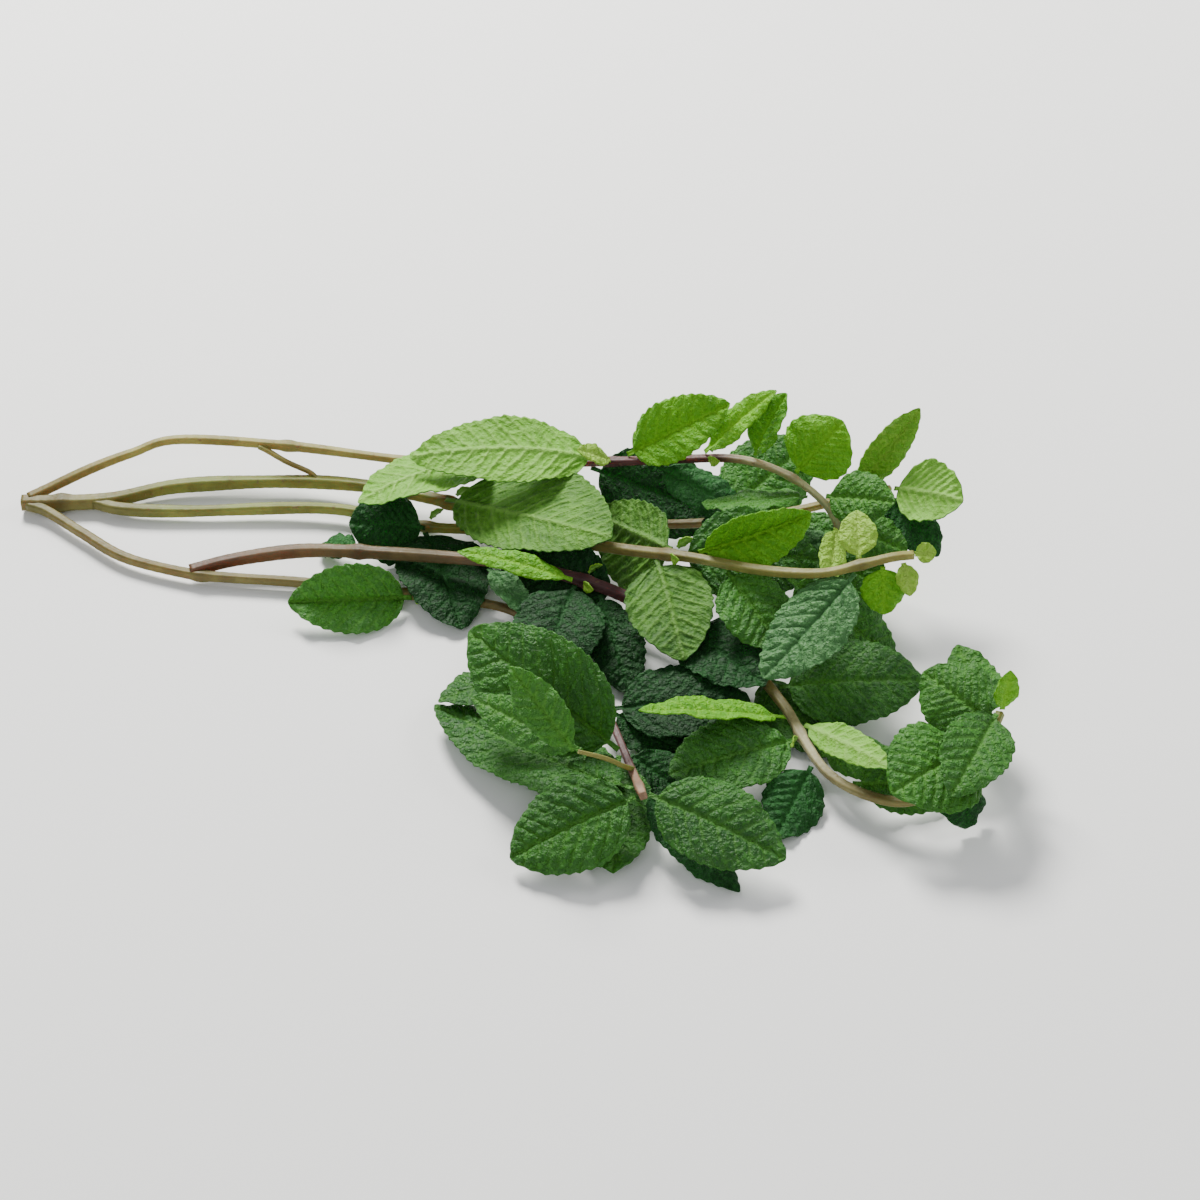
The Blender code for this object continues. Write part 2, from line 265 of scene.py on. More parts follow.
# name: (width at the foot, width at the tip, route, nodes, colours by distance)
# nodes are the distances of the swollen rings; the colours change smoothly
# from one named distance to the next.
STEMS = {
    "stem_main": (4.6, 2.4, [
        (-58, 166, 3), (-33, 167, 3), (-9, 173, 4), (34, 173, 5), (68, 160, 9),
        (98, 141, 12), (120, 129, 17), (141, 117, 24), (160, 106, 29),
        (176, 100, 33), (187, 100, 36), (196, 101, 38), (202, 102, 38)],
        (12, 133, 209, 268), ((0, TAN), (60, OLIVE), (150, OLIVE), (205, TAN), (235, STRAW), (280, STRAW))),
    "stem_back": (3.0, 2.2, [
        (-50, 170.5, 5), (-38, 176, 8), (-26, 181, 10), (-12, 185, 12),
        (21, 182, 12), (57, 174, 13), (86, 168, 16), (116, 162, 22),
        (139, 156, 28), (156, 151, 32), (169, 143, 33), (179, 135, 30),
        (184, 130, 24), (186, 126, 18)],
        (75, 176, 233, 254),
        ((0, TAN), (40, STRAW), (120, STRAW), (175, PLUM), (215, PLUM), (228, CREAM), (262, PALE_GREEN))),
    "stem_middle": (3.8, 2.2, [
        (-27, 163, 3), (-8, 162, 3), (35, 162, 4), (68, 152, 5), (104, 150, 8),
        (145, 146, 12), (174, 145, 18), (191, 143, 26), (199, 140, 30)],
        (93, 186, 226), ((0, TAN), (25, OLIVE), (90, OLIVE), (180, TAN), (240, STRAW))),
    "stem_front": (4.0, 2.4, [
        (8, 137.5, 5), (25, 139, 7), (40, 137, 9), (69, 131, 12),
        (93, 125, 14), (116, 118, 12), (133, 108, 10), (155, 92, 8),
        (166, 75, 7), (171, 60, 8), (177, 47, 8), (187, 39, 8),
        (198, 36, 9), (210, 40, 13), (218, 48, 17), (223, 58, 20)],
        (38, 106, 192, 262),
        ((0, UMBER), (45, BARK), (75, BARK), (100, PLUM), (160, PLUM), (185, TAN), (210, CREAM),
         (240, TAN), (275, OLIVE))),
    "stem_low": (3.2, 2.4, [
        (-50, 162, 3), (-38, 152, 3), (-24, 141, 3), (-5, 134, 3), (8, 132, 3),
        (28, 130, 3), (61, 125, 3), (78, 122, 3), (93, 115, 4), (107, 99, 5),
        (118, 70, 7), (124, 46, 11), (127, 31, 16)],
        (58, 121, 205, 243), ((0, TAN), (90, TAN), (140, TAN), (170, UMBER), (235, PLUM), (248, ROSE))),
    "stem_twig": (1.8, 1.5, [
        (15, 181, 11), (21, 178, 9), (28, 175.5, 7)],
        (), ((0, STRAW), (15, TAN))),
    "stem_shoot": (1.6, 1.2, [
        (122, 42, 16), (117, 41, 20), (110, 39.5, 24)],
        (), ((0, OLIVE), (15, STRAW))),
}
SECTION_HALF = 0.44  # half side of the square section, for a stem one unit wide
SECTION_POINTS = 24
STEM_RING_STEP = 0.9
NODE_SWELL = 0.28
NODE_LENGTH = 2.2


def section_reach(angle):
    """Distance from a stem's middle to its surface, for a stem one unit wide."""
    square = 1 / (abs(math.cos(angle)) ** 5 + abs(math.sin(angle)) ** 5) ** 0.2
    groove = 0.07 * max(0.0, math.cos(4 * angle)) ** 2
    return SECTION_HALF * min(square, 1.22) - groove * SECTION_HALF


def tone_at(colours, distance):
    for (d0, c0), (d1, c1) in zip(colours, colours[1:]):
        if distance <= d1:
            t = (distance - d0) / (d1 - d0)
            t = min(max(t, 0), 1)
            t = t * t * (3 - 2 * t)
            return [a + (b - a) * t for a, b in zip(c0, c1)]
    return list(colours[-1][1])


def put_attribute(mesh, name, values):
    layer = mesh.attributes.new(name, "FLOAT", "POINT")
    layer.data.foreach_set("value", np.asarray(values, dtype=np.float32).ravel())


def put_tone(mesh, name, colours):
    layer = mesh.attributes.new(name, "FLOAT_COLOR", "POINT")
    rows = np.asarray(colours, dtype=np.float32)
    rows = np.hstack([rows, np.ones((len(rows), 1), np.float32)])
    layer.data.foreach_set("color", rows.ravel())


WORN = (0.48, 0.46, 0.40)  # the stem's colour is multiplied by something between these two
FRESH = (0.90, 0.88, 0.80)
SCAR = (0.13, 0.085, 0.045)


def stem_paint():
    paint = Paint("stem_finish", 0.45, Subsurface_Weight=0.04, Specular_IOR_Level=0.25)
    tone = paint.node("ShaderNodeAttribute", {"attribute_name": "tone"})[0]
    streaks = paint.noise(900, 3)
    blotch = paint.noise(120, 3).between(0.42, 0.62)
    scar = paint.noise(420, 2).between(0.66, 0.74)
    wear = paint.blend(WORN, FRESH, (streaks * 0.5 + blotch * 0.5).kept())
    coloured = paint.blend(paint.blend(tone, wear, 1.0, "MULTIPLY"), SCAR, scar * 0.55)
    paint.feed("Base Color", coloured)
    paint.feed("Roughness", 0.36 + 0.28 * streaks)
    paint.relief(streaks + 0.5 * scar, 0.00022, 0.7)
    return paint.material


stem_finish = stem_paint()


def build_stem(name, foot_width, tip_width, route, nodes, colours):
    chance = random.Random(name)
    rings = max(6, round(route.length / STEM_RING_STEP))
    points = []
    tones = []
    side = Vector((0, 0, 1))
    waves = [(chance.uniform(0.02, 0.07), chance.uniform(0, 6.28)) for _ in range(3)]
    for k in range(rings + 1):
        distance = route.length * k / rings
        share = k / rings
        middle = route.at(distance)
        heading = route.heading(distance)
        side = (side - heading * side.dot(heading)).normalized()
        other = heading.cross(side)
        width = foot_width + (tip_width - foot_width) * share
        swell = sum(math.exp(-((distance - n) / NODE_LENGTH) ** 2) for n in nodes)
        width *= 1 + NODE_SWELL * swell
        width *= 1 + sum(0.03 * math.sin(distance * pace * 3 + phase) for pace, phase in waves)
        tone = tone_at(colours, distance)
        tone = [c * (1 - 0.30 * min(swell, 1)) for c in tone]
        for j in range(SECTION_POINTS):
            angle = 2 * math.pi * (j + 0.5) / SECTION_POINTS
            reach = section_reach(angle + 0.15 * math.sin(distance * 0.02)) * width
            reach *= 1 + 0.018 * math.sin(distance * 2.1 + j * 1.7)
            points.append(middle + side * reach * math.cos(angle) + other * reach * math.sin(angle))
            tones.append(tone)
    shape = bmesh.new()
    corners = [shape.verts.new((p + PLAN_TO_FRAME) * MM) for p in points]
    for k in range(rings):
        for j in range(SECTION_POINTS):
            a = k * SECTION_POINTS + j
            b = k * SECTION_POINTS + (j + 1) % SECTION_POINTS
            above_b, above_a = corners[b + SECTION_POINTS], corners[a + SECTION_POINTS]
            shape.faces.new((corners[a], corners[b], above_b, above_a))
    for start, inward in ((0, 1), (rings * SECTION_POINTS, -1)):
        ring = corners[start:start + SECTION_POINTS]
        middle = sum((v.co for v in ring), Vector()) / SECTION_POINTS
        heading = route.heading(0 if inward > 0 else route.length) * MM
        rim = [shape.verts.new(middle + (v.co - middle) * 0.62 + heading * inward * 0.12) for v in ring]
        tip = shape.verts.new(middle + heading * inward * 0.5)
        for j in range(SECTION_POINTS):
            i = (j + 1) % SECTION_POINTS
            shape.faces.new((ring[j], ring[i], rim[i], rim[j]))
            shape.faces.new((rim[j], rim[i], tip))
        end_tone = [c * 1.3 for c in tones[start]] if inward > 0 else tones[start]
        tones += [end_tone] * SECTION_POINTS + [[c * 0.8 for c in end_tone]]
    bmesh.ops.recalc_face_normals(shape, faces=shape.faces)
    mesh = bpy.data.meshes.new(name)
    shape.to_mesh(mesh)
    shape.free()
    put_tone(mesh, "tone", tones)
    mesh.shade_smooth()
    mesh.materials.append(stem_finish)
    stem = bpy.data.objects.new("look_" + name, mesh)
    bpy.context.collection.objects.link(stem)
    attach(stem, "root")
    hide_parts(name)
    return stem


# Where a branch's foot grows out of its parent stem, in plan mm
FORK_FEET = {
    "stem_back": (-56, 167.3, 3.8), "stem_low": (-56, 164.8, 3), "stem_middle": (-36, 166, 3),
    "stem_front": (-4, 134.3, 3.6), "stem_twig": (12.5, 182, 11.8), "stem_shoot": (124.2, 45, 12),
}
TWIG_END = (30.5, 173.6, 5.6)

routes = {}
stem_widths = {}
for name, (foot_width, tip_width, points, nodes, colours) in STEMS.items():
    routes[name] = Route(points)
    stem_widths[name] = (foot_width, tip_width)
    grown = [FORK_FEET[name], *points] if name in FORK_FEET else points
    if name == "stem_twig":
        grown = [*grown, TWIG_END]
    grown = Route(grown)
    added = grown.length - routes[name].length
    build_stem(name, foot_width, tip_width, grown, [n + added for n in nodes], colours)

# ---------------------------------------------------------------------------
# Leaf blades. A mint leaf is a thin toothed oval on a short stalk. Its side
# veins are sunk in the upper side and stand out below, and the blade is
# quilted between them. The upper side is darker and glossier than the lower.

PETIOLE_HALF_WIDTH = 0.8
PETIOLE_SHARE = 0.07
OUTLINE_FOOT = 0.55
OUTLINE_TIP = 0.74
LEAF_GAP = 0.35
CAD_THICKNESS = 0.5
BLADE_THICKNESS = 0.32
GRID_STEP = 0.42  # spacing of the blade's points, mm
VEIN_SPACING = 5.2  # between side veins along the midrib, mm
TOOTH_PITCH = 2.9
TOOTH_DEPTH = 0.62


def outline(share):
    """Half width along a leaf, from 0 at the foot through 1 to 0 at the tip."""
    share = np.clip((share - PETIOLE_SHARE) / (1 - PETIOLE_SHARE), 0, 1)
    widest = OUTLINE_FOOT / (OUTLINE_FOOT + OUTLINE_TIP)
    peak = widest**OUTLINE_FOOT * (1 - widest) ** OUTLINE_TIP
    return share**OUTLINE_FOOT * (1 - share) ** OUTLINE_TIP / peak


def smooth(value, low, high):
    t = np.clip((value - low) / (high - low), 0, 1)
    return t * t * (3 - 2 * t)


def leaf_foot(stem, at, tip, face):
    """Foot, chord and facing directions of a leaf on its stem, in plan mm."""
    route = routes[stem]
    foot_width, tip_width = stem_widths[stem]
    width = foot_width + (tip_width - foot_width) * min(at / route.length, 1)
    tip = Vector(tip)
    spot = route.at(at)
    heading = route.heading(at)
    outward = tip - spot
    outward -= heading * outward.dot(heading)
    if outward.length < 2.0:
        outward = Vector((0, 0, 1)) - heading * heading.z
    outward.normalize()
    if at >= route.length:
        outward = heading
        width = 1.4
    foot = spot + outward * (width * 0.56 + LEAF_GAP + CAD_THICKNESS / 2)
    chord = tip - foot
    line = chord.normalized()
    facing = Vector(face)
    facing -= line * facing.dot(line)
    facing.normalize()
    return foot, chord, facing, line.cross(facing)


def cell_edges(x, y, pitch, chance):
    """How far each point is from the border of its cell in a loose net of cells."""
    low_x, high_x, low_y, high_y = x.min(), x.max(), y.min(), y.max()
    seeds = []
    for gx in np.arange(low_x - pitch, high_x + pitch, pitch):
        for gy in np.arange(low_y - pitch, high_y + pitch, pitch):
            seeds.append((gx + chance.uniform(-.42, .42) * pitch, gy + chance.uniform(-.42, .42) * pitch))
    seeds = np.array(seeds)
    first = np.full(x.shape, 1e9)
    second = np.full(x.shape, 1e9)
    for sx, sy in seeds:
        d = np.hypot(x - sx, y - sy)
        second = np.minimum(second, np.maximum(first, d))
        first = np.minimum(first, d)
    return (second - first) / 2


def leaf_surface(stem, row, quilt, ruffle, seed):
    """Points of the blade's middle surface and what each point carries."""
    at, tip, width, face, fold, curl, arch, hook, lean = row
    chance = random.Random(seed)
    foot, chord, facing, across = leaf_foot(stem, at, tip, face)
    length = chord.length
    rows = int(min(max(length / GRID_STEP, 24), 130))
    columns = 2 * int(min(max(width / 2 / GRID_STEP, 9), 40)) + 1
    share = np.linspace(0, 1, rows)[:, None]
    side = np.linspace(-1, 1, columns)[None, :]
    a = np.array(foot)
    line, up0, cross0 = np.array(chord), np.array(facing), np.array(across)
    b = a + line / 3 + up0 * arch * length
    c = a + line * 2 / 3 + up0 * (arch + hook) * length
    d = a + line
    t = share
    u = 1 - t
    spine = a * u**3 + b * (3 * u * u * t) + c * (3 * u * t * t) + d * t**3
    along = (b - a) * u * u + (c - b) * (2 * u * t) + (d - c) * t * t
    along = along / np.linalg.norm(along, axis=1, keepdims=True)
    out = cross0 - along * (along @ cross0)[:, None]
    out /= np.linalg.norm(out, axis=1, keepdims=True)
    up = np.cross(out, along)
    up *= np.where(up @ up0 < 0, -1, 1)[:, None]

    sign = np.sign(side)
    reach = np.abs(side)
    half = outline(share) * width / 2 * (1 + lean * sign)
    stalk = np.maximum(PETIOLE_HALF_WIDTH * (1 - share) ** 2, 0.25)
    blade = smooth(half, 0.5, 2.5)
    teeth = max(4, round(length / TOOTH_PITCH))
    saw = (share * teeth + 0.35 * (sign > 0)) % 1.0
    tooth = np.where(saw < 0.72, saw / 0.72, (1 - saw) / 0.28) - 0.5
    size = min(1.0, width / 18)
    half = half + tooth * TOOTH_DEPTH * size * blade * smooth(reach, 0.70, 1.0)
    half = np.maximum(half, stalk)

    bend = math.radians(max(curl, 1))
    start = math.radians(fold)
    run = (np.sin(start) - np.sin(start - bend * reach)) / bend
    rise = (np.cos(start - bend * reach) - np.cos(start)) / bend
    angle = start - bend * reach

    x = share * length
    y = half * side
    spacing = VEIN_SPACING * min(1.0, max(0.45, length / 45))
    forward = x - 0.62 * np.abs(y) - 0.020 * y * y + 0.4 * np.sin(x * 0.35 + seed)
    beat = forward / spacing + 0.25 * (sign > 0)
    off = np.abs((beat % 1.0) - 0.5) * spacing * 0.85
    rib = np.exp(-(off / 0.42) ** 2) * (1 - 0.55 * reach) * blade
    midrib = np.exp(-(y / 0.75) ** 2) * (1 - 0.45 * share) * np.ones_like(y)
    pitch = 2.3 * min(1.0, max(0.5, length / 45))
    cell = cell_edges(forward * 1.05, y * 0.60 + 0 * x, pitch, chance)
    puff = 1 - np.exp(-(cell / 0.45) ** 2)
    swell = np.sin(np.clip(off / (spacing * 0.425), 0, 1) * math.pi / 2)
    relief = size * quilt * (0.62 * puff + 0.42 * swell) * blade * (1 - midrib) * (1 - 0.5 * reach**6)
    relief = relief - relief.mean()
    relief = relief - size * (0.35 + 0.4 * quilt) * (0.9 * midrib + 0.45 * rib) * blade

    phase = [chance.uniform(0, 2 * math.pi) for _ in range(5)]
    wave = np.sin(x * 2 * math.pi / (length * 0.42) + phase[0] + (sign > 0) * 2.4)
    wave = wave + 0.5 * np.sin(x * 2 * math.pi / (length * 0.19) + phase[1] + (sign > 0) * 1.3)
    wave = wave * ruffle * reach**2 * blade
    drift = 0.5 * ruffle * np.sin(x * 0.11 + phase[2]) * np.sin(y * 0.16 + phase[3]) * blade
    lift = half * rise + wave + drift
    normal_up = np.cos(angle)
    normal_out = -np.sin(angle) * sign
    place = (spine[:, None, :]
             + out[:, None, :] * (half * run * sign + relief * normal_out)[..., None]
             + up[:, None, :] * (lift + relief * normal_up)[..., None])
    place[..., 2] = np.maximum(place[..., 2], 0.15)  # what lies on the table is pressed flat
    veins = np.clip(midrib * 1.0 + 0.85 * rib + 0.40 * (1 - puff) * blade, 0, 1)
    return place, veins, reach + 0 * x


def build_leaf(name, stem, row, finish, quilt, tint_and_shade, cad=True):
    seed = sum(ord(c) * (i + 1) for i, c in enumerate(name))
    upper, lower, slot, ruffle = FINISHES[finish]
    place, veins, reach = leaf_surface(stem, row, quilt, ruffle, seed)
    rows, columns = veins.shape
    points = (place.reshape(-1, 3) + np.array(PLAN_TO_FRAME)) * MM
    corner = np.arange(rows * columns).reshape(rows, columns)
    quads = np.stack([corner[:-1, :-1], corner[:-1, 1:], corner[1:, 1:], corner[1:, :-1]], axis=-1)
    mesh = bpy.data.meshes.new(name)
    mesh.from_pydata(points.tolist(), [], quads.reshape(-1, 4).tolist())
    put_attribute(mesh, "veins", veins)
    put_attribute(mesh, "reach", reach)
    # How light the leaf is: partly its own colour, partly painted light and shade for how brightly the leaf
    # is lit
    put_attribute(mesh, "tint_and_shade", np.full(veins.shape, tint_and_shade))
    mesh.shade_smooth()
    mesh.materials.append(upper)
    mesh.materials.append(lower)
    leaf = bpy.data.objects.new("look_" + name, mesh)
    bpy.context.collection.objects.link(leaf)
    solid = leaf.modifiers.new("thickness", "SOLIDIFY")
    solid.thickness = BLADE_THICKNESS * MM
    solid.offset = 0.0
    solid.material_offset = 1
    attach(leaf, "root")
    if cad:
        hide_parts(name)
    return leaf


LIGHT_DEPTH = (0.0012, 0.0022, 0.0005)  # how far light spreads inside a blade, in m


def blade_paint(name, deep, light, vein, roughness, gloss=0.28):
    """Upper side: darker in the hollows of its fine crumpling and lighter on the crowns, painted shade and
    painted highlight that follow the crumpled bump.
    """
    paint = Paint(name, roughness, Specular_IOR_Level=gloss, Subsurface_Weight=0.03)
    paint.shader.inputs["Subsurface Radius"].default_value = LIGHT_DEPTH
    paint.shader.inputs["Subsurface Scale"].default_value = 1.0
    veins = paint.own("veins")
    # The leaf's lightness: partly its own colour, partly painted light and shade
    tint_and_shade = paint.own("tint_and_shade")
    patch = paint.noise(70, 3).between(0.35, 0.68)
    grain = paint.noise(2600, 2)
    # Fine crumpling: it raises the bump and also lightens the colour on its crowns as a painted highlight
    crumple_and_highlight = paint.noise(820, 2).between(0.40, 0.64)
    body = paint.blend(deep, light,
        (patch * 0.26 + tint_and_shade * 0.80 + crumple_and_highlight * 0.30 + grain * 0.10 - 0.26).kept())
    lined = paint.blend(body, vein, (veins ** 1.5 * (0.22 + tint_and_shade * 0.45)).kept())
    # Painted highlight: the colour lightens towards the leaf's margin, where the light catches it
    margin_highlight = paint.own("reach").between(0.90, 1.0)
    paint.feed("Base Color", paint.blend(lined, light, margin_highlight * 0.20))
    paint.feed("Roughness", (roughness + grain * 0.22 + veins * 0.10).kept())
    pits = paint.noise(1500, 3)
    paint.relief(crumple_and_highlight * 1.2 + pits * 0.7 + grain * 0.3, 0.00042, 0.8)
    return paint.material


def under_paint(name, ground, light, rib):
    """Lower side: pale and matt, with the net of veins standing out lighter."""
    paint = Paint(name, 0.62, Specular_IOR_Level=0.22, Subsurface_Weight=0.03)
    paint.shader.inputs["Subsurface Radius"].default_value = LIGHT_DEPTH
    paint.shader.inputs["Subsurface Scale"].default_value = 1.0
    veins = paint.own("veins")
    patch = paint.noise(80, 3).between(0.35, 0.65)
    grain = paint.noise(2400, 2)
    # Fine crumpling: it raises the bump and also lightens the colour on its crowns as a painted highlight
    crumple_and_highlight = paint.noise(700, 2).between(0.38, 0.66)
    # The leaf's lightness, partly painted light and shade, lifts the lower side towards its light green
    body = paint.blend(ground, light,
        (crumple_and_highlight * 0.14 + patch * 0.18 + grain * 0.20 + paint.own("tint_and_shade") * 0.9 - 0.20).kept())
    paint.feed("Base Color", paint.blend(body, rib,
        (veins ** 1.3 * (0.15 + paint.own("tint_and_shade") * 0.40)).kept()))
    paint.feed("Roughness", 0.50 + grain * 0.22)
    paint.relief(grain * 0.6 + crumple_and_highlight * 0.8 + veins * 1.2, 0.00034, 0.8)
    return paint.material


UNDERSIDE = under_paint("leaf_pale_finish",
    (0.016, 0.075, 0.005), (0.165, 0.420, 0.035), (0.30, 0.53, 0.12))
DIM_UNDERSIDE = under_paint("leaf_under_finish",
    (0.022, 0.095, 0.014), (0.070, 0.190, 0.036), (0.13, 0.27, 0.07))
# Green, bright and dark are one upper side at three lightnesses, set per leaf partly by how brightly it is
# lit: partly the leaf's own colour, partly painted light and shade
GREEN = blade_paint("leaf_green_finish",
    (0.007, 0.058, 0.006), (0.040, 0.190, 0.010), (0.10, 0.28, 0.03), 0.40)
BRIGHT = blade_paint("leaf_bright_finish",
    (0.030, 0.180, 0.002), (0.135, 0.420, 0.004), (0.22, 0.50, 0.02), 0.42)
DARK = blade_paint("leaf_dark_finish",
    (0.0015, 0.024, 0.003), (0.012, 0.100, 0.014), (0.03, 0.15, 0.03), 0.46, gloss=0.20)
YOUNG = blade_paint("leaf_young_finish",
    (0.100, 0.290, 0.010), (0.260, 0.480, 0.035), (0.36, 0.56, 0.09), 0.45)
PALE = blade_paint("leaf_grey_finish",
    (0.016, 0.095, 0.018), (0.100, 0.260, 0.080), (0.02, 0.09, 0.02), 0.42)
# finish: (upper side, lower side, slot in the record, ruffle of the edge in mm)
FINISHES = {
    "green": (GREEN, DIM_UNDERSIDE, "leaf_green", 0.6),
    "bright": (BRIGHT, UNDERSIDE, "leaf_bright", 0.5),
    "dark": (DARK, DIM_UNDERSIDE, "leaf_dark", 0.7),
    "young": (YOUNG, UNDERSIDE, "leaf_young", 0.3),
    "pale": (PALE, UNDERSIDE, "leaf_pale", 0.5),
    "under": (GREEN, UNDERSIDE, "leaf_pale", 0.5),
}

# ---------------------------------------------------------------------------
# Back branch. Two pairs of big leaves near its middle, one leaf hanging pale side up
# over the stems, and a crown of smaller ones. Each grows from a node by a short stalk.

# name, distance along the stem, tip, width, way the upper side faces, fold, curl,
# arch, hook, lean, finish, quilting, and last how light the leaf is: partly its own colour, partly painted
# light and shade
BACK_LEAVES = [
    ("leaf_back_1", 173, (60, 158, 27), 23, (0, 0.3, -1), 2, 4, -0.13, 0.0, 0.0, "under", 0.35, 0.9),
    ("leaf_back_2", 181, (153, 158, 47), 19, (-0.2, -0.7, 0.8), 25, 30, 0.03, 0.0, 0.0, "bright", 0.6, 0.8),
    ("leaf_back_3", 205, (166, 155, 54), 10, (-0.3, -0.4, 0.9), 20, 30, 0.05, 0.0, 0.0, "bright", 0.55, 1),
    ("leaf_back_4", 233, (185, 150, 47), 22, (-0.2, -0.8, 0.6), 10, 35, 0.05, 0.0, 0.0, "bright", 0.55, 0.8),
    ("leaf_back_5", 244, (199, 127, 36), 17, (0, -0.6, 0.9), 14, 40, 0.08, 0.0, 0.0, "green", 0.55, 0.8),
    ("leaf_back_6", 253, (179, 108, 21), 9, (0.3, -0.6, 0.6), 25, 50, 0.05, 0.0, 0.0, "young", 0.55, 0.7),
    ("leaf_back_7", 256, (167, 129, 14), 9, (0, -0.5, 1), 12, 40, 0.08, 0.0, 0.0, "pale", 0.55, 0.9),
    ("leaf_back_8", 254, (203, 122, 22), 15, (0.2, -0.6, 0.8), 14, 45, 0.08, 0.0, 0.0, "green", 0.55, 0.7),
    ("leaf_back_9", 240, (145, 141, 24), 16, (0, 0.3, 1), 12, 30, 0.0, 0.0, 0.0, "green", 0.55, 0.9),
    ("leaf_back_10", 190, (160, 141, 16), 14, (0.2, -0.5, 1), 12, 30, 0.06, 0.0, 0.0, "dark", 0.55, 0.7),
    ("leaf_back_11", 220, (169, 155, 53), 13,
     (-0.9, -0.6, 0.3), 30, 30, 0.05, 0.0, 0.0, "bright", 0.55, 0.3),
    ("leaf_back_12", 176, (109, 154, 33), 7, (0, -0.4, 0.9), 15, 20, 0.04, 0.0, 0.0, "young", 0.55, 1),
]
for name, *row, finish, quilt, tint_and_shade in BACK_LEAVES:
    build_leaf(name, "stem_back", row, finish, quilt, tint_and_shade)

# ---------------------------------------------------------------------------
# Middle branch. A dark quilted leaf low down near the cut end, and a pair turned over
# at the tip. Pairs of leaves cross at right angles up the stem.

MIDDLE_LEAVES = [
    ("leaf_middle_1", 93, (42, 147, 11), 24, (-0.1, -0.6, 0.8), 6, 30, 0.08, 0.0, 0.0, "dark", 0.7, 0.4),
    ("leaf_middle_2", 222, (207, 152, 50), 11,
     (-0.3, -0.6, -0.2), 35, 60, 0.1, -0.1, 0.0, "young", 0.3, 0.1),
    ("leaf_middle_3", 250, (219, 132, 32), 21, (0, 0.4, -0.9), 10, 35, -0.08, 0.0, 0.0, "under", 0.4, 1),
    ("leaf_middle_4", 231, (212, 122, 20), 15, (0.2, -0.6, 0.8), 14, 40, 0.05, 0.0, 0.0, "dark", 0.55, 0.4),
    ("leaf_middle_5", 186, (146, 133, 14), 15, (0, -0.5, 0.9), 12, 30, 0.06, 0.0, 0.0, "dark", 0.55, 0.2),
]
for name, *row, finish, quilt, tint_and_shade in MIDDLE_LEAVES:
    build_leaf(name, "stem_middle", row, finish, quilt, tint_and_shade)

# ---------------------------------------------------------------------------
# Main stem. Two large leaves folded back to show their pale undersides, and a tuft
# of small young leaves that have only just opened at the tip.

MAIN_LEAVES = [
    ("leaf_main_1", 209, (113, 149, 13), 27, (0, 0.85, -0.55), 10, 4, 0.05, 0.0, 0.3, "under", 0.3, 0.15),
    ("leaf_main_2", 218, (175, 121, 37), 20, (0, -0.9, 0.3), 45, 25, 0.05, 0.0, 0.0, "bright", 0.55, 0.7),
    ("leaf_main_3", 206, (139, 85, 14), 25, (0, 0.5, -0.8), 8, 25, -0.06, 0.0, 0.0, "under", 0.4, 0.1),
    ("leaf_main_4", 229, (166, 87, 15), 21, (0.3, -0.6, 0.7), 18, 30, 0.06, 0.0, 0.0, "green", 0.8, 0.6),
    ("leaf_main_5", 266, (160, 74, 18), 22, (0, -0.1, 1), 4, 20, -0.03, 0.0, 0.0, "pale", 0.9, 0.7),
    ("leaf_main_6", 133, (119, 124, 25), 34, (0, 0.25, -1), 3, 3, -0.03, 0.0, 0.22, "under", 0.25, 0.3),
    ("leaf_main_7", 268, (187, 115, 43), 11, (0, -0.9, 0.4), 20, 40, 0.06, 0.0, 0.0, "young", 0.55, 0.9),
    ("leaf_main_8", 274, (194, 93, 24), 13, (0.1, -0.9, 0.4), 15, 45, 0.05, 0.0, 0.0, "bright", 0.55, 0.8),
    ("leaf_main_9", 280, (201, 94, 30), 7, (0.4, -0.8, 0.4), 15, 30, 0.05, 0.0, 0.0, "young", 0.55, 0.9),
    ("leaf_main_10", 283, (208, 101, 40), 6, (0, -0.7, 0.7), 25, 20, 0.05, 0.0, 0.0, "young", 0.55, 1),
]
for name, *row, finish, quilt, tint_and_shade in MAIN_LEAVES:
    build_leaf(name, "stem_main", row, finish, quilt, tint_and_shade)

# ---------------------------------------------------------------------------
# Front branch. Dark, strongly wrinkled leaves lie on the table in front, and the
# branch turns back up at its end in a fan of fresh leaves.

